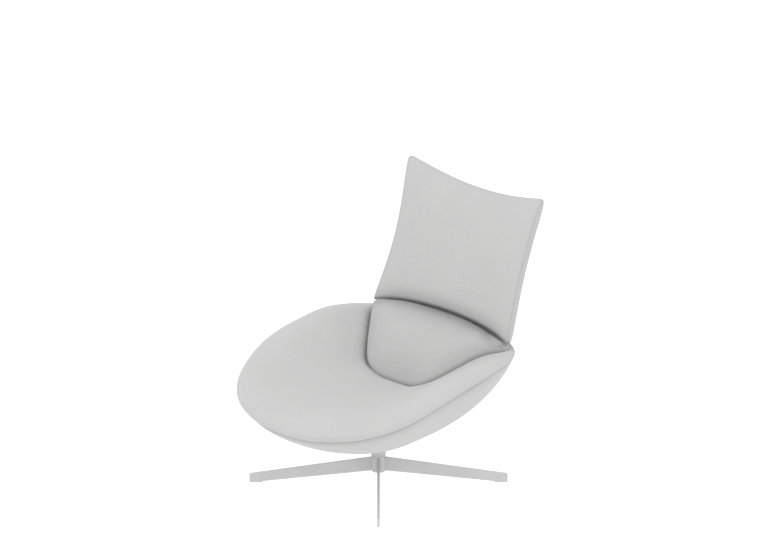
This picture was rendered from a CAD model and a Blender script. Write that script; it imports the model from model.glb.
import math

import bmesh
import bpy
import numpy as np
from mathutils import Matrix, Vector
from mathutils.kdtree import KDTree


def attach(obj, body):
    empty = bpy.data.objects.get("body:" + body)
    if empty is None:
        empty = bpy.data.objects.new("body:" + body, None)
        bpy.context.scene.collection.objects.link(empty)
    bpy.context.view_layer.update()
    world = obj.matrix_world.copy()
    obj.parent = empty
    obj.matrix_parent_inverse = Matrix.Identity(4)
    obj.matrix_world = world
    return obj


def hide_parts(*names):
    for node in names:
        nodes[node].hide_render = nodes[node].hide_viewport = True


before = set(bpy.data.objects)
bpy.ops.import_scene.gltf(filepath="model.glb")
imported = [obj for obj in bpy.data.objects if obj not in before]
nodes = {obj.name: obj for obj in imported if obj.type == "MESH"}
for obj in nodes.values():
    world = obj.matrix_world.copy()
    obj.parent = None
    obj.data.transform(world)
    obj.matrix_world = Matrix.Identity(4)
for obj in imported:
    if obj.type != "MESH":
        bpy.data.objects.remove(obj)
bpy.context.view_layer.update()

# ------------------------------------------------------------------ the chair's section tables, in mm
UNIT = 3.2
HALF_WIDTH, FRONT, REAR = 124 * UNIT, 134 * UNIT, 120 * UNIT
LOW, FLAT = 46 * UNIT, 157.0
DISH_Z = 98.5 * UNIT


def table(xk, yk, x):
    xk, yk, x = np.asarray(xk, float), np.asarray(yk, float), np.asarray(x, float)
    h = np.diff(xk)
    d = np.diff(yk) / h
    m = np.zeros_like(yk)
    m[0], m[-1] = d[0], d[-1]
    for i in range(1, len(xk) - 1):
        if d[i - 1] * d[i] > 0:
            w1, w2 = 2 * h[i] + h[i - 1], h[i] + 2 * h[i - 1]
            m[i] = (w1 + w2) / (w1 / d[i - 1] + w2 / d[i])
    x = np.clip(x, xk[0], xk[-1])
    i = np.clip(np.searchsorted(xk, x) - 1, 0, len(xk) - 2)
    t = (x - xk[i]) / h[i]
    return (
        (1 + 2 * t) * (1 - t) ** 2 * yk[i]
        + t * (1 - t) ** 2 * h[i] * m[i]
        + t * t * (3 - 2 * t) * yk[i + 1]
        + t * t * (t - 1) * h[i] * m[i + 1]
    )


def soften(a, steps, axis=0, wrap=False):
    """Smooths values along one axis, keeping the ends where it doesn't wrap."""
    a = np.moveaxis(np.array(a, float), axis, 0)
    for _ in range(steps):
        if wrap:
            a = 0.25 * np.roll(a, 1, 0) + 0.5 * a + 0.25 * np.roll(a, -1, 0)
        else:
            a[1:-1] = 0.25 * a[:-2] + 0.5 * a[1:-1] + 0.25 * a[2:]
    return np.moveaxis(a, 0, axis)


def ease(x, a, b):
    t = np.clip((np.asarray(x, float) - a) / (b - a), 0, 1)
    return t * t * (3 - 2 * t)


SEAM_Y = np.array([-160, -140, -134, -124, -111.6, -95, -75, -50, -36, -21, -5, 12, 31, 52, 82, 130, 150.0])
SEAM_Z = np.array([74, 81, 83.4, 87.6, 91.3, 96.8, 103.5, 113.5, 119, 123.3, 127.5, 130.6, 134, 137, 138, 138, 138.0])
RIM_PHI = np.radians([0, 30, 60, 90, 110, 125, 140, 180])
RIM_OVER = np.array([6, 6.5, 6, 4.2, 3.6, 1.8, 0.0, 0.0]) * UNIT
RIM_UP = np.array([16, 15.5, 12.8, 10.8, 8.3, 4.9, 2.8, 2.5]) * UNIT
RIM_IN = np.array([16, 15, 13, 11, 10, 9, 7, 7.0]) * UNIT
DISH_Q = [0, 0.15, 0.3, 0.457, 0.674, 0.82, 0.947, 1.0]
DISH_S = [0, 0.035, 0.13, 0.285, 0.6, 0.82, 0.97, 1.0]
PAD_X = np.array([0, 7.5, 21, 30, 39.2, 46.8, 54.4, 65.5, 78.4, 88.6, 97]) * UNIT
PAD_Y = np.array([22.5, 22.3, 21.8, 21.6, 23.1, 27.7, 35.3, 48.7, 64.7, 77.1, 93]) * UNIT
PAD_Z = np.array([100.5, 100.9, 102.8, 105.3, 108.3, 112, 117.4, 127.3, 137.2, 140.5, 140.5]) * UNIT

ROUND = 420  # points round the seat
PHI = np.linspace(0, 2 * np.pi, ROUND, endpoint=False)


def seam_height(y):
    return table(SEAM_Y, SEAM_Z, np.asarray(y) / UNIT) * UNIT


def seam_plan(phi, inset=0.0):
    sx, cy = np.sin(phi), -np.cos(phi)
    n = np.where(cy < 0, 2.3, 2.9)
    b = np.where(cy < 0, FRONT, REAR) - inset
    r = (np.abs(sx / (HALF_WIDTH - inset)) ** n + np.abs(cy / b) ** n) ** (-1 / n)
    return r * sx, r * cy


def rim(phi):
    p = np.abs((phi + np.pi) % (2 * np.pi) - np.pi)
    return [table(RIM_PHI, v, p) for v in (RIM_OVER, RIM_UP, RIM_IN)]


SX, SY = seam_plan(PHI)
SR = np.hypot(SX, SY)
EX, EY = SX / SR, SY / SR
SZ = soften(seam_height(SY), 10, wrap=True)
OVER, UP, INS = [soften(v, 40, wrap=True) for v in rim(PHI)]
OVER = OVER + 4.0 * np.exp(-(((np.abs((PHI + np.pi) % (2 * np.pi) - np.pi) - 0.80) / 0.45) ** 2))


def around(values, phi):
    """A value known at the points round the seat, at any angle."""
    return np.interp(phi % (2 * np.pi), np.append(PHI, 2 * np.pi), np.append(values, values[0]))


QS = np.linspace(0, 1, 201)
DISH = soften(table(DISH_Q, DISH_S, QS), 60)


def seat_height(x, y):
    """Height of the seat's upper face, inside its crest."""
    r, phi = np.hypot(x, y), np.arctan2(x, -np.asarray(y, float))
    rc = around(SR - INS, phi)
    crest = around(SZ + UP, phi)
    return DISH_Z + (crest - DISH_Z) * np.interp(np.clip(r / rc, 0, 1), QS, DISH)


def bowl_share(f):
    k, top = 1.3, 1.008
    f = np.asarray(f, float)
    q = math.sqrt(1 - 0.1**k)
    slope = 0.5 / q * k * 0.1 ** (k - 1)
    low = np.sqrt(np.clip(1 - np.clip(1 - f, 0, 1) ** k, 0, 1))
    return np.where(f <= 0.9, low, q + slope * (f - 0.9)) / top


# ------------------------------------------------------------------ mesh helpers
def new_object(name, verts, faces, smooth=True):
    mesh = bpy.data.meshes.new(name)
    mesh.from_pydata([tuple(v) for v in np.asarray(verts, float) * 0.001], [], faces)
    mesh.validate()
    obj = bpy.data.objects.new(name, mesh)
    bpy.context.scene.collection.objects.link(obj)
    bm = bmesh.new()
    bm.from_mesh(mesh)
    bmesh.ops.remove_doubles(bm, verts=bm.verts, dist=1e-6)
    bmesh.ops.recalc_face_normals(bm, faces=bm.faces)
    bm.to_mesh(mesh)
    bm.free()
    if smooth:
        mesh.polygons.foreach_set("use_smooth", [True] * len(mesh.polygons))
        mesh.set_sharp_from_angle(angle=math.radians(65))
    mesh.update()
    return obj


def points_of(mesh):
    co = np.empty(len(mesh.vertices) * 3, np.float32)
    mesh.vertices.foreach_get("co", co)
    return co.reshape(-1, 3).astype(float) * 1000


def fill_out(verts, faces, free, cap, pressure=4.0, voxel=6.0):
    """Fills out a pad's cover: cloth under pressure on a copy of the pad, whose capped movement is put on the pad's own
    points. Points with a free share of 0 are held."""
    verts = np.asarray(verts, float)
    scene = bpy.context.scene
    probe = new_object("cover_probe", verts, faces)
    voxels = probe.modifiers.new("voxels", "REMESH")
    voxels.mode, voxels.voxel_size = "VOXEL", voxel / 1000
    mesh = bpy.data.meshes.new_from_object(probe.evaluated_get(bpy.context.evaluated_depsgraph_get()))
    sheet = bpy.data.objects.new("cover_cloth", mesh)
    scene.collection.objects.link(sheet)
    rest = points_of(mesh)
    near = KDTree(len(verts))
    for i, q in enumerate(verts):
        near.insert(q, i)
    near.balance()
    held = sheet.vertex_groups.new(name="held")
    for i, q in enumerate(rest):
        held.add([i], float(1 - free[near.find(q)[1]]), "REPLACE")
    cloth = sheet.modifiers.new("cloth", "CLOTH")
    cloth.point_cache.frame_start, cloth.point_cache.frame_end = 1, 20
    cloth.settings.quality = 5
    cloth.settings.use_pressure = True
    cloth.settings.uniform_pressure_force = pressure
    cloth.settings.effector_weights.gravity = 0
    cloth.settings.vertex_group_mass = "held"
    cloth.collision_settings.use_collision = False
    for f in range(1, 21):
        scene.frame_set(f)
    moved = sheet.evaluated_get(bpy.context.evaluated_depsgraph_get())
    shift = points_of(moved.to_mesh()) - rest
    moved.to_mesh_clear()
    scene.frame_set(1)
    size = np.linalg.norm(shift, axis=1)
    shift *= (cap * np.tanh(size / cap) / np.maximum(size, 1e-6))[:, None]
    near = KDTree(len(rest))
    for i, q in enumerate(rest):
        near.insert(q, i)
    near.balance()
    out = verts.copy()
    for i in np.flatnonzero(np.asarray(free) > 0):
        found = near.find_n(verts[i], 10)
        w = np.array([math.exp(-((g[2] / voxel) ** 2)) + 1e-6 for g in found])
        out[i] += free[i] * (w @ shift[[g[1] for g in found]]) / w.sum()
    for obj in (probe, sheet):
        data = obj.data
        bpy.data.objects.remove(obj)
        bpy.data.meshes.remove(data)
    print("fill_out", len(rest), "points, largest", round(size.max(), 1), "mean of free", round(np.linalg.norm(out - verts, axis=1)[np.asarray(free) > 0.5].mean(), 2))
    return out


def mark_crease(obj, share):
    """Stores how deep in a crease each vertex lies, from its place in mm."""
    mesh = obj.data
    co = np.empty(len(mesh.vertices) * 3, np.float32)
    mesh.vertices.foreach_get("co", co)
    values = np.clip(share(co.reshape(-1, 3).astype(float) * 1000), 0, 0.9)
    mesh.attributes.new("crease", "FLOAT", "POINT").data.foreach_set("value", values.astype(np.float32))


def lathe(rows, poles=(None, None)):
    """Rows of points round the seat, each (ROUND, 3), joined into a skin. A pole closes an end."""
    n = rows[0].shape[0]
    verts = np.concatenate(rows)
    faces = []
    for j in range(len(rows) - 1):
        a, b = j * n, (j + 1) * n
        for i in range(n):
            k = (i + 1) % n
            faces.append((a + i, a + k, b + k, b + i))
    for end, pole in zip((0, len(rows) - 1), poles):
        if pole is not None:
            verts = np.concatenate([verts, [pole]])
            c = len(verts) - 1
            for i in range(n):
                faces.append((end * n + i, end * n + (i + 1) % n, c))
    return verts, faces


def tube(line, radius, sides=10, closed=True):
    """A round cord along a line of points, in mm."""
    line = np.asarray(line, float)
    n = len(line)
    if closed:
        tangent = np.roll(line, -1, 0) - np.roll(line, 1, 0)
    else:
        tangent = np.gradient(line, axis=0)
    tangent /= np.linalg.norm(tangent, axis=1)[:, None]
    a = np.cross(tangent, [0, 0, 1.0])
    bad = np.linalg.norm(a, axis=1) < 0.2
    a[bad] = np.cross(tangent[bad], [1.0, 0, 0])
    a /= np.linalg.norm(a, axis=1)[:, None]
    b = np.cross(tangent, a)
    ang = np.linspace(0, 2 * np.pi, sides, endpoint=False)
    verts = (line[:, None] + radius * (np.cos(ang)[None, :, None] * a[:, None] + np.sin(ang)[None, :, None] * b[:, None])).reshape(-1, 3)
    faces = []
    for i in range(n if closed else n - 1):
        k = (i + 1) % n
        for j in range(sides):
            m = (j + 1) % sides
            faces.append((i * sides + j, i * sides + m, k * sides + m, k * sides + j))
    if not closed:
        faces.append(tuple(range(sides)))
        faces.append(tuple((n - 1) * sides + j for j in range(sides)))
    return verts, faces


def radial(out, up):
    """Points round the seat, offset from the seam line outwards and upwards."""
    out, up = np.broadcast_to(out, SR.shape), np.broadcast_to(up, SR.shape)
    return np.stack([EX * (SR + out), EY * (SR + out), SZ + up], -1)


def waves(x, y, z, seed, scale, count=10):
    """A soft random field: a few plane waves, the same each run."""
    rng = np.random.default_rng(seed)
    total = np.zeros_like(np.asarray(x, float))
    for _ in range(count):
        d = rng.normal(size=3)
        d /= np.linalg.norm(d)
        k = 2 * np.pi / (scale * rng.uniform(0.7, 1.6))
        total += np.sin(k * (d[0] * x + d[1] * y + d[2] * z) + rng.uniform(0, 6.3))
    return total / math.sqrt(count)


# ------------------------------------------------------------------ materials
def material(name):
    m = bpy.data.materials.new(name)
    m.use_nodes = True
    m.node_tree.nodes.clear()
    return m, m.node_tree


class Tree:
    """Short words for building shader nodes."""

    def __init__(self, tree):
        self.t = tree

    def node(self, kind, **settings):
        n = self.t.nodes.new(kind)
        for k, v in settings.items():
            setattr(n, k, v)
        return n

    def link(self, a, b):
        self.t.links.new(a, b)

    def math(self, op, a, b=None, c=None, clamp=False):
        n = self.node("ShaderNodeMath", operation=op, use_clamp=clamp)
        for i, v in enumerate((a, b, c)):
            if v is None:
                continue
            if isinstance(v, (int, float)):
                n.inputs[i].default_value = v
            else:
                self.link(v, n.inputs[i])
        return n.outputs[0]

    def ramp(self, fac, stops, interpolation="LINEAR"):
        n = self.node("ShaderNodeValToRGB")
        n.color_ramp.interpolation = interpolation
        els = n.color_ramp.elements
        while len(els) < len(stops):
            els.new(0.5)
        for e, (p, c) in zip(els, stops):
            e.position = p
            e.color = (*c, 1) if len(c) == 3 else c
        self.link(fac, n.inputs[0])
        return n.outputs[0]

    def noise(self, vector, scale, detail=3.0, rough=0.55):
        n = self.node("ShaderNodeTexNoise")
        n.inputs["Scale"].default_value = scale
        n.inputs["Detail"].default_value = detail
        n.inputs["Roughness"].default_value = rough
        self.link(vector, n.inputs["Vector"])
        return n.outputs["Fac"]


def weave_group():
    """Plain weave: height of the yarn surface, and which yarn is on top, at a place in the cloth's plane."""
    g = bpy.data.node_groups.new("plain_weave", "ShaderNodeTree")
    g.interface.new_socket("U", in_out="INPUT", socket_type="NodeSocketFloat")
    g.interface.new_socket("V", in_out="INPUT", socket_type="NodeSocketFloat")
    g.interface.new_socket("Height", in_out="OUTPUT", socket_type="NodeSocketFloat")
    t = Tree(g)
    i, o = t.node("NodeGroupInput"), t.node("NodeGroupOutput")
    su = t.math("SINE", t.math("MULTIPLY", i.outputs["U"], math.pi))
    sv = t.math("SINE", t.math("MULTIPLY", i.outputs["V"], math.pi))
    over = t.math("MULTIPLY", su, sv)
    pick = t.math("ADD", t.math("MULTIPLY", over, 1.6), 0.5, clamp=True)
    au, av = t.math("ABSOLUTE", su), t.math("ABSOLUTE", sv)
    warp = t.math("MULTIPLY", t.math("POWER", au, 0.6), t.math("ADD", t.math("MULTIPLY", av, 0.35), 0.65))
    weft = t.math("MULTIPLY", t.math("POWER", av, 0.6), t.math("ADD", t.math("MULTIPLY", au, 0.35), 0.65))
    mix = t.math("ADD", t.math("MULTIPLY", warp, pick), t.math("MULTIPLY", weft, t.math("SUBTRACT", 1.0, pick)))
    t.link(mix, o.inputs["Height"])
    return g


WEAVE = weave_group()


def fabric(name, colour, pitch=0.0017, bump=0.35):
    """Woven wool: plain weave at real scale, melange yarn, slow shade changes and a soft sheen."""
    m, tree = material(name)
    t = Tree(tree)
    out = t.node("ShaderNodeOutputMaterial")
    bsdf = t.node("ShaderNodeBsdfPrincipled")
    t.link(bsdf.outputs[0], out.inputs[0])
    coord = t.node("ShaderNodeTexCoord")
    place = coord.outputs["Object"]
    # yarns wander a little
    wob = t.node("ShaderNodeTexNoise")
    wob.inputs["Scale"].default_value = 28.0
    wob.inputs["Detail"].default_value = 1.0
    t.link(place, wob.inputs["Vector"])
    shift = t.node("ShaderNodeVectorMath", operation="MULTIPLY_ADD")
    t.link(wob.outputs["Color"], shift.inputs[0])
    shift.inputs[1].default_value = (0.004, 0.004, 0.004)
    t.link(place, shift.inputs[2])
    sep = t.node("ShaderNodeSeparateXYZ")
    t.link(shift.outputs[0], sep.inputs[0])
    axes = [t.math("DIVIDE", sep.outputs[k], pitch) for k in range(3)]
    nsep = t.node("ShaderNodeSeparateXYZ")
    t.link(coord.outputs["Normal"], nsep.inputs[0])
    weights = [t.math("POWER", t.math("ABSOLUTE", nsep.outputs[k]), 6.0) for k in range(3)]
    total = t.math("ADD", t.math("ADD", weights[0], weights[1]), t.math("ADD", weights[2], 1e-4))
    height = None
    for k, (a, b) in enumerate(((1, 2), (0, 2), (0, 1))):
        w = t.node("ShaderNodeGroup", node_tree=WEAVE)
        t.link(axes[a], w.inputs["U"])
        t.link(axes[b], w.inputs["V"])
        part = t.math("MULTIPLY", w.outputs["Height"], t.math("DIVIDE", weights[k], total))
        height = part if height is None else t.math("ADD", height, part)
    # melange: pale and deep fibres within the yarns
    fleck = t.noise(place, 900.0, 2.0, 0.6)
    slub = t.noise(place, 160.0, 3.0, 0.6)
    slow = t.noise(place, 5.0, 3.0, 0.5)
    shade = t.math("ADD", t.math("MULTIPLY", fleck, 0.42), t.math("MULTIPLY", slub, 0.30))
    shade = t.math("ADD", shade, t.math("MULTIPLY", slow, 0.16))
    shade = t.math("ADD", shade, t.math("MULTIPLY", height, 0.22))
    c = np.array(colour)
    colour_out = t.ramp(
        shade,
        [(0.30, tuple(c * 0.86)), (0.52, tuple(c)), (0.74, tuple(np.minimum(c * 1.10 + 0.005, 1)))],
    )
    # the pile is crushed and dusty down in the creases
    soil = t.node("ShaderNodeAttribute", attribute_name="crease")
    uneven = t.math("MULTIPLY", soil.outputs["Fac"], t.math("ADD", t.math("MULTIPLY", slub, 0.3), 0.85))
    worn = t.node("ShaderNodeVectorMath", operation="SCALE")
    t.link(colour_out, worn.inputs[0])
    t.link(t.math("SUBTRACT", 1.0, uneven, clamp=True), worn.inputs["Scale"])
    t.link(worn.outputs[0], bsdf.inputs["Base Color"])
    bsdf.inputs["Roughness"].default_value = 0.92
    bsdf.inputs["Specular IOR Level"].default_value = 0.18
    bsdf.inputs["Sheen Weight"].default_value = 0.22
    bsdf.inputs["Sheen Roughness"].default_value = 0.45
    b1 = t.node("ShaderNodeBump")
    b1.inputs["Strength"].default_value = bump
    b1.inputs["Distance"].default_value = 0.0006
    t.link(height, b1.inputs["Height"])
    b2 = t.node("ShaderNodeBump")
    b2.inputs["Strength"].default_value = 0.12
    b2.inputs["Distance"].default_value = 0.0015
    t.link(slub, b2.inputs["Height"])
    t.link(b1.outputs[0], b2.inputs["Normal"])
    t.link(b2.outputs[0], bsdf.inputs["Normal"])
    return m


def coated(name, colour, rough=0.48, metallic=0.0, grain=650.0, bump=0.10):
    """Powder coat: a fine orange-peel skin with slight shade changes and rubbed high spots."""
    m, tree = material(name)
    t = Tree(tree)
    out = t.node("ShaderNodeOutputMaterial")
    bsdf = t.node("ShaderNodeBsdfPrincipled")
    t.link(bsdf.outputs[0], out.inputs[0])
    place = t.node("ShaderNodeTexCoord").outputs["Object"]
    peel = t.noise(place, grain, 2.0, 0.5)
    slow = t.noise(place, 14.0, 4.0, 0.55)
    c = np.array(colour)
    t.link(t.ramp(slow, [(0.25, tuple(c * 0.93)), (0.55, tuple(c)), (0.8, tuple(np.minimum(c * 1.05, 1)))]), bsdf.inputs["Base Color"])
    r = t.math("ADD", t.math("MULTIPLY", peel, 0.16), rough - 0.08)
    t.link(r, bsdf.inputs["Roughness"])
    bsdf.inputs["Metallic"].default_value = metallic
    b = t.node("ShaderNodeBump")
    b.inputs["Strength"].default_value = bump
    b.inputs["Distance"].default_value = 0.0005
    t.link(peel, b.inputs["Height"])
    t.link(b.outputs[0], bsdf.inputs["Normal"])
    return m


def metal(name, colour, rough=0.34, turned=True):
    """Plated or cast metal with fine tool marks and a slightly uneven sheen."""
    m, tree = material(name)
    t = Tree(tree)
    out = t.node("ShaderNodeOutputMaterial")
    bsdf = t.node("ShaderNodeBsdfPrincipled")
    t.link(bsdf.outputs[0], out.inputs[0])
    place = t.node("ShaderNodeTexCoord").outputs["Object"]
    if turned:
        stretch = t.node("ShaderNodeMapping")
        stretch.inputs["Scale"].default_value = (60, 60, 2400)
        t.link(place, stretch.inputs["Vector"])
        marks = t.noise(stretch.outputs[0], 1.0, 2.0, 0.5)
    else:
        marks = t.noise(place, 1400.0, 3.0, 0.6)
    slow = t.noise(place, 40.0, 3.0, 0.5)
    c = np.array(colour)
    t.link(t.ramp(slow, [(0.3, tuple(c * 0.88)), (0.7, tuple(np.minimum(c * 1.06, 1)))]), bsdf.inputs["Base Color"])
    t.link(t.math("ADD", t.math("MULTIPLY", marks, 0.22), rough - 0.1), bsdf.inputs["Roughness"])
    bsdf.inputs["Metallic"].default_value = 1.0
    b = t.node("ShaderNodeBump")
    b.inputs["Strength"].default_value = 0.12
    b.inputs["Distance"].default_value = 0.0004
    t.link(marks, b.inputs["Height"])
    t.link(b.outputs[0], bsdf.inputs["Normal"])
    return m


def ply(name):
    """Moulded beech plywood: long grain with fine pores."""
    m, tree = material(name)
    t = Tree(tree)
    out = t.node("ShaderNodeOutputMaterial")
    bsdf = t.node("ShaderNodeBsdfPrincipled")
    t.link(bsdf.outputs[0], out.inputs[0])
    place = t.node("ShaderNodeTexCoord").outputs["Object"]
    stretch = t.node("ShaderNodeMapping")
    stretch.inputs["Scale"].default_value = (90, 90, 4)
    t.link(place, stretch.inputs["Vector"])
    grain = t.noise(stretch.outputs[0], 1.0, 5.0, 0.6)
    t.link(
        t.ramp(grain, [(0.3, (0.46, 0.31, 0.17)), (0.55, (0.62, 0.45, 0.27)), (0.75, (0.72, 0.56, 0.36))]),
        bsdf.inputs["Base Color"],
    )
    bsdf.inputs["Roughness"].default_value = 0.6
    b = t.node("ShaderNodeBump")
    b.inputs["Strength"].default_value = 0.2
    b.inputs["Distance"].default_value = 0.0004
    t.link(grain, b.inputs["Height"])
    t.link(b.outputs[0], bsdf.inputs["Normal"])
    return m


WOOL = fabric("wool_light_grey", (0.480, 0.480, 0.4785))
WOOL_PAD = fabric("wool_light_grey_pad", (0.446, 0.446, 0.4446))
WELT = fabric("wool_welt", (0.45, 0.45, 0.4485), pitch=0.0012)
THREAD = coated("sewing_thread", (0.42, 0.42, 0.42), rough=0.7, grain=2500.0, bump=0.4)
COAT = coated("powder_coat_light_grey", (0.515, 0.515, 0.515))
MOULD = coated("moulded_grey_plastic", (0.46, 0.46, 0.463), rough=0.62, grain=900.0, bump=0.16)
NYLON = coated("natural_nylon", (0.46, 0.46, 0.455), rough=0.5, grain=300.0, bump=0.05)
SHELL = coated("shell_plastic", (0.20, 0.20, 0.205), rough=0.6, grain=800.0, bump=0.2)
ZINC = metal("zinc_plated_steel", (0.60, 0.61, 0.62))
CAST = metal("blasted_cast_alloy", (0.56, 0.57, 0.58), rough=0.5, turned=False)
PLY = ply("beech_plywood")

FINISH = {
    COAT: "base_hub leg_front_left leg_front_right leg_rear_left leg_rear_right column_sleeve hinge_arm_left hinge_arm_right",
    MOULD: "foot_glides hub_end_cap",
    NYLON: "lower_bush upper_bush thrust_washer friction_washers",
    ZINC: "spindle circlip retaining_washer seat_plate plate_screws tee_nuts bracket_screws hinge_pins pin_nuts arm_screws",
    CAST: "hinge_bracket_left hinge_bracket_right",
    SHELL: "seat_shell",
    PLY: "back_board",
}
for mat, names in FINISH.items():
    for name in names.split():
        nodes[name].data.materials.clear()
        nodes[name].data.materials.append(mat)


def dress(obj, mat, body):
    obj.data.materials.clear()
    obj.data.materials.append(mat)
    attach(obj, body)
    return obj


# ------------------------------------------------------------------ outer cover of the bowl
def bowl_rows(inset, steps, top=1.0):
    x, y = seam_plan(PHI, inset)
    low = LOW + inset
    z = SZ
    first = (FLAT + inset - low) / (z - low)
    rows = []
    for s in np.linspace(0, 1, steps):
        f = first + (top - first) * s**1.25
        q = bowl_share(f)
        rows.append(np.stack([x * q, y * q, low + f * (z - low)], -1))
    return rows


def flat_rows(edge, hole, steps):
    """Flat rows from a round hole out to the first row of the bowl."""
    e = np.hypot(edge[:, 0], edge[:, 1])
    rows = []
    for s in np.linspace(0, 1, steps)[:-1]:
        k = (hole + (e - hole) * s) / e
        rows.append(np.stack([edge[:, 0] * k, edge[:, 1] * k, edge[:, 2]], -1))
    return rows


def on_rim(inset, up):
    """Points on the slanted plane of the seam, inset from it, and this much above the plane."""
    return radial(-inset, seam_height(EY * (SR - inset)) - seam_height(SY) + up)


outside = bowl_rows(0.0, 60, top=0.93)
cover = flat_rows(outside[0], 23.4, 8) + outside
lip, below = bowl_rows(0.0, 3, top=1.0)[-1], bowl_rows(0.0, 3, top=0.97)[-1]
rise = lip - below
rise /= np.linalg.norm(rise, axis=1)[:, None]
swing = rise[:, 0] * EX + rise[:, 1] * EY
away = np.stack([EX * rise[:, 2], EY * rise[:, 2], -swing], -1)
for run, inset in ((9.6, 0.07), (7.8, 0.3), (6.0, 0.7), (4.3, 1.2), (2.8, 1.8), (1.4, 2.5), (0.3, 3.4), (-0.4, 5.0)):
    cover.append(lip - run * rise - inset * away)
inside = bowl_rows(3.6, 40, top=0.985)
cover += inside[::-1]
cover += flat_rows(inside[0], 23.4, 5)[::-1]
verts, faces = lathe(cover)
n_rows = len(cover)
for i in range(ROUND):  # the hem round the column
    k = (i + 1) % ROUND
    faces.append(((n_rows - 1) * ROUND + i, (n_rows - 1) * ROUND + k, k, i))
cover_obj = dress(new_object("outer_cover_skin", verts, faces), WOOL, "seat")
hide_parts("outer_cover")


def seam_mark(v):
    """The cloth is drawn in and a little dull along the seam round the seat."""
    phi = np.arctan2(v[:, 0], -v[:, 1])
    far = np.hypot(np.hypot(v[:, 0], v[:, 1]) - around(SR, phi), v[:, 2] - around(SZ, phi))
    return 0.10 * np.exp(-((far / 9.0) ** 2)) + 0.04 * np.exp(-((far / 24.0) ** 2))


mark_crease(cover_obj, seam_mark)

# ------------------------------------------------------------------ where the lumbar pad lies
NW = 301
W = np.linspace(-1, 1, NW)
foot_x = 96.5 * UNIT * W
foot_y = soften(table(PAD_X, PAD_Y, np.abs(foot_x)), 90) + 5.0
foot_line = np.stack([foot_x, foot_y], -1)


def beside_pad(x, y):
    """Distance in plan from the pad's lower edge, negative under the pad, and the place along the edge."""
    shape = np.shape(x)
    p = np.stack([np.ravel(x), np.ravel(y)], -1)
    a, b = foot_line[:-1], foot_line[1:]
    ab = b - a
    best = np.full(len(p), 1e9)
    along = np.zeros(len(p))
    for k in range(0, len(a), 2):
        a0, d0 = a[k], foot_line[min(k + 2, NW - 1)] - a[k]
        t = np.clip(((p - a0) @ d0) / (d0 @ d0), 0, 1)
        d = np.hypot(*(p - a0 - t[:, None] * d0).T)
        near = d < best
        best[near], along[near] = d[near], W[k] + t[near] * (W[min(k + 2, NW - 1)] - W[k])
    under = p[:, 1] > np.interp(p[:, 0], foot_x, foot_y, left=1e9, right=1e9)
    return np.where(under, -best, best).reshape(shape), along.reshape(shape)


# the dish is fuller beside the pad, so that it meets the pad's lower edge
RISE = np.maximum(0, table(PAD_X, PAD_Z, np.abs(foot_x)) - seat_height(foot_x, foot_y)) * (1 - ease(np.abs(W), 0.90, 0.97))
RISE = soften(RISE * ease(np.abs(W), 0.20, 0.45), 40)
foot_z = seat_height(foot_x, foot_y) + RISE

# ------------------------------------------------------------------ seat cushion
under = bowl_rows(18.0, 20, top=0.97)
rows = flat_rows(under[0], 6.0, 5) + under
rows += [on_rim(16.0, -1.5), on_rim(10.0, 0.2), on_rim(5.4, 0.5), on_rim(3.7, 1.1), on_rim(2.8, 2.3), on_rim(1.9, 3.9)]
ROLL = 30
for s in np.linspace(0.07, 1, ROLL):
    t = s**1.15
    b1, b2, b3 = 3 * t * (1 - t) ** 2, 3 * t * t * (1 - t), t**3
    out = b1 * OVER * 1.35 + b2 * OVER * 1.45 - b3 * INS - 5.6 * (1 - np.clip(t / 0.30, 0, 1)) ** 2
    up = b1 * UP * 0.33 + b2 * UP * 1.01 + b3 * UP + 3.4 * (1 - t) ** 2
    rows.append(radial(out, up))
roll_end = len(rows) - 1
roll_start = roll_end - ROLL + 1
RC = SR - INS
CREST = SZ + UP
for q in np.linspace(1, 0, 132)[1:-1]:
    z = DISH_Z + (CREST - DISH_Z) * np.interp(q, QS, DISH)
    rows.append(np.stack([EX * RC * q, EY * RC * q, z], -1))
stack = np.stack(rows, 0)
# the roll runs into the dish without an edge
a, b = roll_end - 14, roll_end + 20
stack[a:b] = soften(stack[a:b], 36, axis=0)
# the crease that the lumbar pad presses into the seat, with a full shoulder beside it
top = slice(roll_end - 8, None)
p = stack[top]
d, along = beside_pad(p[..., 0], p[..., 1])
rear = ease(p[..., 1], 312, 345) * (1 - ease(np.abs(p[..., 0]), 190, 250))
p[..., 2] += np.interp(along, W, RISE) * np.exp(-((np.maximum(d, 0) / 62.0) ** 2)) * (1 - rear)
deep = (6.5 + 4.0 * ease(np.abs(along), 0.36, 0.48)) * (1 - 0.8 * ease(np.abs(along), 0.84, 0.99))
wide = 7.5 + 4.0 * ease(np.abs(along), 0.38, 0.52) * (1 - ease(np.abs(along), 0.75, 0.95))
crease = np.where(d > 0, np.exp(-((np.maximum(d, 0) / wide) ** 1.6)), 1.0) * (1 - rear)
shoulder = 2.2 * np.exp(-(((d - 30) / 20) ** 2)) * (d > 0) * (1 - ease(np.abs(along), 0.85, 1.0))
p[..., 2] += shoulder - deep * crease
# foam under tension: slow unevenness on top, and small gathers where the cloth turns into the seam
p = stack[roll_start:]
p[..., 2] += 0.5 * waves(p[..., 0], p[..., 1], p[..., 2], 3, 170.0)
gather = np.sin(PHI * 88 + 1.7 * np.sin(PHI * 7)) * (0.6 + 0.4 * np.sin(PHI * 5 + 1))
for j in range(roll_start, roll_end - 6):
    near = (1 - (j - roll_start) / (ROLL - 6)) ** 1.5
    stack[j, :, 0] += EX * 0.32 * gather * near
    stack[j, :, 1] += EY * 0.32 * gather * near
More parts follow.
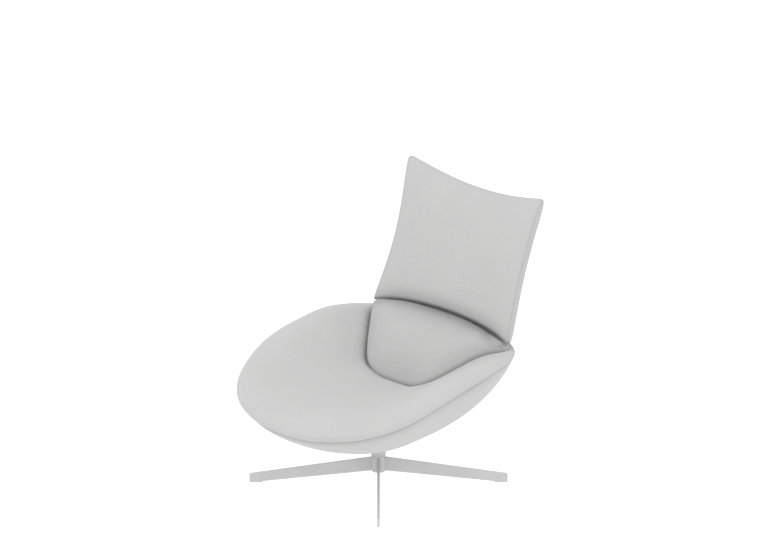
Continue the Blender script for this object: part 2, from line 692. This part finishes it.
# pockets for the two hinges in the rear of the seat
p = stack[roll_start:]
ax = np.abs(p[..., 0])
pocket = ease(ax, 82, 91) * (1 - ease(ax, 149, 158)) * ease(p[..., 1], 326, 336) * (1 - ease(p[..., 1], 372, 381))
p[..., 2] -= pocket * np.maximum(p[..., 2] - 432.0, 0)
verts, faces = lathe(list(stack), poles=((0, 0, under[0][0, 2]), (0, 0, DISH_Z)))
seat_obj = dress(new_object("seat_cushion_soft", verts, faces), WOOL, "seat")
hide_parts("seat_cushion")


def seat_crease(v):
    d, along = beside_pad(v[:, 0], v[:, 1])
    out_of = ease(-d, 8.0, 22.0)
    d = np.maximum(d, 0)
    side = ease(np.abs(along), 0.30, 0.50) * (1 - ease(np.abs(along), 0.85, 0.98))
    near = (0.01 + 0.44 * side) * np.exp(-((d / 7.0) ** 1.5)) + (0.03 + 0.12 * side) * np.exp(-((d / 60.0) ** 1.5))
    return near * (v[:, 2] > 300) * (1 - ease(np.abs(along), 0.93, 1.0)) * (1 - out_of) + seam_mark(v)


mark_crease(seat_obj, seat_crease)

verts, faces = tube(on_rim(4.4, 0.5), 1.1)
welt_obj = dress(new_object("seat_welt", verts, faces), WELT, "seat")


def stitches(name, line, outward, body, sewn=None, pitch=5.2, share=0.66, radius=0.42):
    """A row of sewn stitches along a closed line: each a short thread that dips into the cloth at its ends."""
    line = np.asarray(line, float)
    closed = np.concatenate([line, line[:1]])
    normal = np.concatenate([outward, outward[:1]])
    run = np.concatenate([[0], np.cumsum(np.linalg.norm(np.diff(closed, axis=0), axis=1))])
    count = int(run[-1] / pitch)
    verts, faces = [], []
    sides = 5
    for k in range(count):
        at = (k + np.array([0.0, 0.12, 0.5, 0.88, 1.0]) * share) * pitch
        if sewn is not None and not sewn[min(int(np.searchsorted(run, at[2])), len(line)) - 1]:
            continue
        pts = np.stack([np.interp(at, run, closed[:, i]) for i in range(3)], -1)
        nrm = np.stack([np.interp(at, run, normal[:, i]) for i in range(3)], -1)
        pts = pts + nrm * np.array([-0.55, 0.05, 0.22, 0.05, -0.55])[:, None]
        v, f = tube(pts, radius, sides=sides, closed=False)
        base = sum(len(x) for x in verts)
        verts.append(v)
        faces += [tuple(base + i for i in q) for q in f]
    return dress(new_object(name, np.concatenate(verts), faces), THREAD, body)


def skin_normals(rows, j):
    """Outward directions along row j of a stack of rows round the seat."""
    across = rows[j + 1] - rows[j - 1]
    along_row = np.roll(rows[j], -1, 0) - np.roll(rows[j], 1, 0)
    n = np.cross(along_row, across)
    n /= np.linalg.norm(n, axis=1)[:, None]
    flip = np.sign((n[:, 0] * EX + n[:, 1] * EY).mean())
    return n * flip


j = 7 + 58
stitches("seat_topstitch", cover[j], skin_normals(cover, j), "seat")

# ------------------------------------------------------------------ lumbar pad
foot = np.stack([foot_x, foot_y, foot_z], -1)
Q = 1 - W**2
head_x = 90.5 * UNIT * W
across = np.abs(head_x) / (92 * UNIT)
crest_y, crest_z = 299.0 + 9.0 * (1 - across**2) - 29.0 * across**2, 507.0 - 3.0 * across**4 - 34.0 * across**4.5
reach = np.hypot(crest_y - foot_y, crest_z - foot_z)
ROLL_TOP = np.minimum(32.0, 0.26 * reach)  # radius of the roll over the pad's upper edge
mid_y, mid_z = crest_y + 0.5 - ROLL_TOP, crest_z + 1.0 - ROLL_TOP
lean = np.arctan2(crest_z - foot_z, crest_y - foot_y) * 0.72
head = np.stack([head_x, mid_y - ROLL_TOP * np.sin(lean), mid_z + ROLL_TOP * np.cos(lean)], -1)
span = np.linalg.norm(head - foot, axis=1)
turn = np.minimum(15.0, 0.42 * span)  # radius of the pad's lower edge
normal = np.array([0, -0.60, 0.80])
sink = -(6.5 + 4.0 * ease(np.abs(W), 0.36, 0.48)) * (1 - 0.75 * ease(np.abs(W), 0.86, 1.0))
swell = 3.0 * (1 - 0.6 * W**4)
loop = []
first = turn / span
NE, NF, NA = 14, 40, 18
for k in range(NE + NF):
    if k < NE:
        a = (k / NE) ** 1.5
        v = first * a
        lift = sink + (swell - sink) * np.sqrt(1 - (1 - a) ** 2)
    else:
        v = first + (1 - first) * ((k - NE) / (NF - 1))
        lift = swell * (1 - ease(v, 0.6, 1.0))
    crown = 4.4 * UNIT * np.sin(np.pi * np.minimum(v, 0.9999)) ** 0.85 * Q
    loop.append(foot * (1 - v)[:, None] + head * v[:, None] + (crown + lift)[:, None] * normal)
# over the upper edge and down behind it
tail_q = np.clip(1 - (head_x / 285.0) ** 2, 0, 1)
tail_z = np.minimum(469.0 + 19.0 * tail_q - 4.0 * ease(np.abs(W), 0.86, 0.98), crest_z - 4.0)
for k in range(1, NA):
    ang = (0.5 * np.pi + lean) * (1 - k / (NA - 1))
    y, z = mid_y + ROLL_TOP * np.cos(ang), mid_z + ROLL_TOP * np.sin(ang)
    loop.append(np.stack([head_x, y, np.maximum(z, tail_z + 1.0)], -1))
# the tail runs in under the back panel, with a notch for each hinge arm
end_y = 300.0 + 50.0 * np.sqrt(tail_q)
ax = np.abs(head_x)
for x0, x1, x2, x3, y in ((88, 93, 144, 149, 341.0), (102.5, 104.5, 131.5, 133.5, 331.0)):
    notch = ease(ax, x0, x1) * (1 - ease(ax, x2, x3))
    end_y = end_y * (1 - notch) + np.minimum(end_y, y) * notch
start_y = crest_y + 3.0
length = np.maximum(end_y - start_y, 8.0)
ROLL_R = np.minimum(5.5, 0.5 * length)
NT = 10
for k in range(NT):
    y = start_y + (length - ROLL_R) * k / (NT - 1)
    loop.append(np.stack([head_x, y, tail_z], -1))
centre = loop[-1] - np.array([0, 0, 1.0]) * ROLL_R[:, None]
for ang in np.linspace(0, 0.5 * np.pi, 9)[1:]:
    loop.append(centre + np.array([0, math.sin(ang), math.cos(ang)]) * ROLL_R[:, None])
tail = loop[-1].copy()
tail[:, 2] = np.minimum(seat_height(tail[:, 0], tail[:, 1]) - 3.0, tail[:, 2])
for s in np.linspace(0, 1, 24)[:-1]:
    mid = tail * (1 - s) + foot * s
    mid[:, 2] = seat_height(mid[:, 0], mid[:, 1]) - 3.0 - 10.0 * np.sin(np.pi * min(s * 1.0, 1)) ** 0.5
    mid[:, 2] = np.minimum(mid[:, 2], tail[:, 2] * (1 - s) + (foot_z + sink) * s)
    loop.append(mid)
loop = np.stack(loop, 0)  # points of a section, sections, 3
# the face runs into the roll without an edge
a, b = NE + NF - 14, NE + NF + 10
loop[a:b] = soften(loop[a:b], 12, axis=0)
upper = slice(4, NE + NF + NA)
q = loop[upper]
q[..., 2] += 0.45 * waves(q[..., 0], q[..., 1], q[..., 2], 8, 130.0)
# the pad's two ends close in a round tip
shrink = np.sqrt(np.clip(1 - np.clip((np.abs(W) - 0.955) / 0.0455, 0, 1) ** 2, 0.0004, 1))
middle_of = loop.mean(0)
loop = middle_of[None] + (loop - middle_of[None]) * shrink[None, :, None]
count = loop.shape[0]
verts = loop.transpose(1, 0, 2).reshape(-1, 3)
faces = []
for i in range(NW - 1):
    for j in range(count):
        k = (j + 1) % count
        faces.append((i * count + j, i * count + k, (i + 1) * count + k, (i + 1) * count + j))
for i in (0, NW - 1):
    verts = np.concatenate([verts, [loop[:, i].mean(0)]])
    for j in range(count):
        faces.append((i * count + j, i * count + (j + 1) % count, len(verts) - 1))
free = np.zeros(count)
free[: NE + NF + NA] = ease(np.arange(NE + NF + NA), 3, NE + 4) * (1 - ease(np.arange(NE + NF + NA), NE + NF, NE + NF + NA - 4))
free = np.concatenate([np.outer(1 - ease(np.abs(W), 0.90, 0.97), free).ravel(), [0, 0]])
verts = fill_out(verts, faces, free, 5.0)
pad_obj = dress(new_object("lumbar_pad_soft", verts, faces), WOOL_PAD, "seat")
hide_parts("lumbar_cushion")


def pad_crease(v):
    d, along = beside_pad(v[:, 0], v[:, 1])
    low = 0.10 * np.exp(-((np.maximum(-d, 0) / 38.0) ** 1.2))
    x = np.abs(v[:, 0]) / (92 * UNIT)
    behind = v[:, 1] - (308.0 - 38.0 * x**2)
    wide = 30.0 - 11.0 * ease(x, 0.45, 0.80)
    high = 0.50 * np.exp(-((np.maximum(-26.0 - behind, 0) / wide) ** 1.3)) + 0.30 * ease(behind, -19.0, -7.0)
    high = high * (1 - 0.75 * ease(x, 0.74, 0.97)) * (1 - ease(behind, 10.0, 24.0)) * (v[:, 2] > 462)
    return np.maximum(low * (1 - ease(np.abs(along), 0.9, 1.0)), high * (v[:, 1] > 200))


mark_crease(pad_obj, pad_crease)

# ------------------------------------------------------------------ back panel
FOOT = np.array([0, 93.5, 150.5]) * UNIT
HEAD = np.array([0, 138.0, 285.5]) * UNIT
ALONG = HEAD - FOOT
BACK_L = np.linalg.norm(ALONG)
ALONG /= BACK_L
BEHIND = np.array([0, ALONG[2], -ALONG[1]])
HALF_LOW, HALF_TOP, WAIST = 92 * UNIT, 91.5 * UNIT, 6 * UNIT
ARCH, DIP, DEEP = 9.5 * UNIT, 34.5, 7 * UNIT
DROP = 10.0  # the pads reach this far below the line of the lower corners
CROWN = 8.2 * UNIT  # half thickness in the middle
EDGE, BORDER = 12.0, 11.5  # half thickness at the edge, and how far the border stands out
FULL, KNIFE = 48.0, 0.30  # the lower edge thins to a seam over this length, to this share


def half_width(t):
    return HALF_LOW + (HALF_TOP - HALF_LOW) * t - WAIST * np.sin(np.pi * t)


def low_edge(s):
    """The panel's lower edge along its length: an arch whose two ends turn down a little."""
    s = np.clip(np.abs(s), 0, 1.02)
    return ARCH * (1 - s**2) - DROP - 4.0 * s**9


def flat_place(s, t):
    """Place in the panel's flat pattern, across and along."""
    return s * half_width(t), low_edge(s) * (1 - t) + t * (BACK_L - DIP * (1 - s**2))


def unflat(x, l):
    s, t = x / HALF_LOW, l / BACK_L
    for _ in range(30):
        low = low_edge(s)
        t = (l - low) / (BACK_L - DIP * (1 - s**2) - low)
        s = x / half_width(np.clip(t, 0, 1))
    return s, t


def on_panel(x, l, h):
    """A point of the curved panel: across, along, and behind its middle surface."""
    slope = -2 * DEEP * x / HALF_LOW**2
    norm = np.sqrt(1 + slope**2)
    base = FOOT + x[..., None] * np.array([1.0, 0, 0]) + l[..., None] * ALONG
    base = base + (DEEP * (1 - (x / HALF_LOW) ** 2))[..., None] * BEHIND
    forward = 8.0 + 6.0 * np.clip(1 - (x / HALF_LOW) ** 2, 0, 1)
    base = base - (forward * np.clip(1 - l / (0.55 * BACK_L), 0, 1.1) ** 2)[..., None] * BEHIND
    back = (BEHIND - slope[..., None] * np.array([1.0, 0, 0])) / norm[..., None]
    return base + h[..., None] * back


def outline():
    n = 900
    u = np.linspace(0, 1, n, endpoint=False)
    z = np.zeros(n)
    parts = [flat_place(2 * u - 1, z), flat_place(z + 1, u), flat_place(1 - 2 * u, z + 1), flat_place(z - 1, 1 - u)]
    line = np.concatenate([np.stack(q, -1) for q in parts])
    closed = np.concatenate([line, line[:1]])
    run = np.concatenate([[0], np.cumsum(np.hypot(*np.diff(closed, axis=0).T))])
    corners = np.array([run[0], run[n], run[2 * n], run[3 * n], run[-1]])
    fine = np.linspace(0, run[-1], 20001)
    near = np.abs(fine[:, None] - corners[None]).min(1)
    density = 1 + 3.2 * np.exp(-((near / 9.0) ** 2))
    mass = np.concatenate([[0], np.cumsum(0.5 * (density[1:] + density[:-1]) * np.diff(fine))])
    at = np.interp(np.linspace(0, mass[-1], 640, endpoint=False), mass, fine)
    even = np.linspace(0, run[-1], 2600, endpoint=False)
    smooth = np.stack([np.interp(even, run, closed[:, i]) for i in range(2)], -1)
    smooth = soften(smooth, 26, wrap=True)
    smooth = np.concatenate([smooth, smooth[:1]])
    even = np.append(even, run[-1])
    return np.stack([np.interp(at, even, smooth[:, i]) for i in range(2)], -1)


rim_line = outline()
NB = len(rim_line)
rim_s, rim_t = unflat(rim_line[:, 0], rim_line[:, 1])
step = np.roll(rim_line, -1, 0) - np.roll(rim_line, 1, 0)
outward = np.stack([step[:, 1], -step[:, 0]], -1)
outward /= np.linalg.norm(outward, axis=1)[:, None]
outward = soften(outward, 2, wrap=True)
outward /= np.linalg.norm(outward, axis=1)[:, None]


def thin(s, t):
    """Share of the full thickness: the lower edge rounds in to a seam."""
    x, l = flat_place(s, t)
    up = np.clip((l - low_edge(s)) / FULL, 0, 1)
    return KNIFE + (1 - KNIFE) * np.sqrt(np.clip(1 - (1 - up) ** 2, 0, 1))


def edge_half(s, t):
    return EDGE * (1 - 0.5 * np.abs(s) ** 10 * np.clip(2 * t - 1, 0, 1) ** 10)


def face_half(s, t):
    full = np.clip(1 - np.abs(s) ** 3.2, 0, 1) * np.clip(1 - np.abs(2 * t - 1) ** 3.2, 0, 1)
    return (edge_half(s, t) + (CROWN - EDGE) * full**0.9) * thin(s, t)


rim_half = edge_half(rim_s, rim_t) * thin(rim_s, rim_t)
down = ease(-outward[:, 1], 0.15, 0.85)
border = BORDER * (1 - 0.15 * np.abs(rim_s) ** 7 * np.abs(2 * rim_t - 1) ** 7) * (1 - 0.68 * down)


def face_rows(sign, steps):
    rows = []
    for k in np.linspace(0, 1, steps)[1:]:
        rho = 1 - (1 - k) ** 1.4
        s, t = rim_s * rho, 0.5 + (rim_t - 0.5) * rho
        x, l = flat_place(s, t)
        rows.append(on_panel(x, l, sign * face_half(s, t)))
    return rows


def edge_row(deg, inset=0.0):
    """A line round the panel's border; -90 is its front edge and 90 its rear one."""
    a = math.radians(deg)
    out = border * abs(math.cos(a)) ** 0.62 - inset
    h = np.sign(a) * (rim_half - 0.4 * inset) * abs(math.sin(a)) ** 0.62
    return on_panel(rim_line[:, 0] + out * outward[:, 0], rim_line[:, 1] + out * outward[:, 1], h)


SEAM = 46.0
front = face_rows(-1, 44)
strip = [edge_row(g, 0.0) for g in (-84, -76, -68, -60, -54)]
strip += [edge_row(-50, 0.55), edge_row(-SEAM, 1.5), edge_row(-42, 0.55)]
strip += [edge_row(g) for g in (-36, -28, -20, -13, -6, 0, 6, 13, 20, 28, 36)]
strip += [edge_row(42, 0.55), edge_row(SEAM, 1.5), edge_row(50, 0.55)]
strip += [edge_row(g, 0.0) for g in (54, 60, 68, 76, 84)]
back = face_rows(1, 44)[::-1]
# the cloth is pulled to the seams: faint gathers that die out over the face
perimeter = np.concatenate([[0], np.cumsum(np.linalg.norm(np.diff(rim_line, axis=0), axis=1))])
gather = np.sin(perimeter / 6.6 + 1.3 * np.sin(perimeter / 41.0)) * (0.55 + 0.45 * np.sin(perimeter / 63.0))
for k in range(43):
    fade = 0.28 * (k / 42) ** 9
    front[k] = front[k] - (fade * gather)[:, None] * BEHIND
    back[42 - k] = back[42 - k] + (fade * gather)[:, None] * BEHIND

one = np.zeros(1)
mid0 = on_panel(one, flat_place(one, one + 0.5)[1], one)[0]
half0 = face_half(one, one + 0.5)[0]
split = len(strip) // 2
front_all = np.stack(front + strip[: split + 1], 0)
rear_all = np.stack(strip[split:] + back, 0)
for part, seed in ((front_all, 11), (rear_all, 12)):
    part += (0.45 * waves(part[..., 0], part[..., 1], part[..., 2], seed, 150.0))[..., None] * BEHIND
rear_all[0] = front_all[-1]  # the two halves share the line they meet in
closing = []  # inner faces lie on the board's middle surface
for k in np.linspace(1, 0, 8)[1:-1]:
    x, l = flat_place(rim_s * k, 0.5 + (rim_t - 0.5) * k)
    closing.append(on_panel(x, l, np.zeros(NB)))
verts, faces = lathe(list(front_all) + closing, poles=(mid0 - half0 * BEHIND, mid0))
front_obj = dress(new_object("back_pad_front_soft", verts, faces), WOOL, "backrest")
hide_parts("back_pad_front")


def panel_crease(v):
    rel = v - FOOT
    l = rel @ ALONG
    s = np.clip(v[:, 0] / HALF_LOW, -1, 1)
    up = l - low_edge(s)
    low = 0.55 * (1 - ease(up, 2.0, 15.0)) + 0.11 * (1 - ease(up, 8.0, 64.0))
    low = low * (1 - 0.35 * ease(np.abs(s), 0.70, 0.96))
    edge = 0.05 * ease(np.abs(v[:, 0]) - half_width(np.clip(l / BACK_L, 0, 1)), -3.0, 2.0)
    return low + edge * ease(up, 20.0, 60.0)


mark_crease(front_obj, panel_crease)
verts, faces = lathe(closing[::-1] + list(rear_all), poles=(mid0, mid0 + half0 * BEHIND))
rear_obj = dress(new_object("back_pad_rear_soft", verts, faces), WOOL, "backrest")
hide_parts("back_pad_rear")
mark_crease(rear_obj, lambda v: 0.05 * ease(np.abs(v[:, 0]) - half_width(np.clip((v - FOOT) @ ALONG / BACK_L, 0, 1)), -3.0, 2.0))

for name, side in (("arm_slit_left", 1), ("arm_slit_right", -1)):  # the bound slits that the hinge arms pass through
    slit = np.array([(-14.6, -1.0), (-14.6, 14.0), (-14.4, 28.0), (-13.0, 33.5), (-9.0, 36.0), (0.0, 36.6)])
    slit = np.concatenate([slit, slit[-2::-1] * [-1, 1]])
    run = np.concatenate([[0], np.cumsum(np.hypot(*np.diff(slit, axis=0).T))])
    at = np.linspace(0, run[-1], 70)
    x = side * 118.0 + np.interp(at, run, slit[:, 0])
    l = low_edge(x / HALF_LOW) + np.interp(at, run, slit[:, 1])
    s, t = unflat(x, np.maximum(l, low_edge(x / HALF_LOW) + 0.2))
    verts, faces = tube(on_panel(x, l, face_half(s, np.clip(t, 0, 1)) + 0.3), 1.5, sides=10, closed=False)
    dress(new_object(name, verts, faces), WELT, "backrest")

for name, sign in (("back_seam_front", -1), ("back_seam_rear", 1)):
    verts, faces = tube(edge_row(sign * SEAM, 1.3), 1.0, sides=8)
    seam_obj = dress(new_object(name, verts, faces), WELT, "backrest")
    if sign < 0:
        mark_crease(seam_obj, panel_crease)
    line = edge_row(sign * 34)
    n3 = line - edge_row(sign * 34, 2.0)
    n3 /= np.linalg.norm(n3, axis=1)[:, None]
    stitches(name + "_stitches", line, n3, "backrest", sewn=down < 0.3)  # the lower edge has a plain seam

# ------------------------------------------------------------------ floor, light and camera
mesh = bpy.data.meshes.new("floor")
mesh.from_pydata([(-40, -40, 0), (40, -40, 0), (40, 40, 0), (-40, 40, 0)], [], [(0, 1, 2, 3)])
floor = bpy.data.objects.new("floor", mesh)
bpy.context.scene.collection.objects.link(floor)
m, tree = material("pale_floor")
t = Tree(tree)
out = t.node("ShaderNodeOutputMaterial")
bsdf = t.node("ShaderNodeBsdfPrincipled")
t.link(bsdf.outputs[0], out.inputs[0])
grain = t.noise(t.node("ShaderNodeTexCoord").outputs["Object"], 3.0, 4.0, 0.5)
t.link(t.ramp(grain, [(0.3, (0.24, 0.24, 0.24)), (0.7, (0.26, 0.26, 0.26))]), bsdf.inputs["Base Color"])
bsdf.inputs["Emission Color"].default_value = (1, 1, 1, 1)
bsdf.inputs["Emission Strength"].default_value = 0.90
bsdf.inputs["Roughness"].default_value = 0.9
bsdf.inputs["Specular IOR Level"].default_value = 0.1
floor.data.materials.append(m)

world = bpy.data.worlds.new("studio")
bpy.context.scene.world = world
world.use_nodes = True
background = world.node_tree.nodes["Background"]
background.inputs["Color"].default_value = (1, 1, 1, 1)
background.inputs["Strength"].default_value = 1.20


def area_light(name, place, target, size, power):
    light = bpy.data.lights.new(name, "AREA")
    light.shape = "RECTANGLE"
    light.size, light.size_y = size
    light.energy = power
    o = bpy.data.objects.new(name, light)
    bpy.context.scene.collection.objects.link(o)
    o.location = place
    o.rotation_euler = (Vector(target) - Vector(place)).to_track_quat("-Z", "Y").to_euler()
    return o


area_light("key", (1.2, -2.2, 4.2), (0, 0, 0.4), (3.0, 3.0), 20)

LENS = 1000.0
TARGET = Vector((-0.130, 0.182, 0.606))
distance = 780 * LENS / (36 * 312.5)
cam = bpy.data.cameras.new("camera")
cam.lens = LENS
cam.sensor_width = 36
cam.clip_start = 1.0
cam.clip_end = 400
camera = bpy.data.objects.new("camera", cam)
bpy.context.scene.collection.objects.link(camera)
camera.location = TARGET + distance * Vector((0.66446, -0.66446, 0.34202))
camera.rotation_euler = (TARGET - camera.location).to_track_quat("-Z", "Y").to_euler()
bpy.context.scene.camera = camera
bpy.context.scene.view_settings.view_transform = "Standard"

bpy.context.view_layer.update()
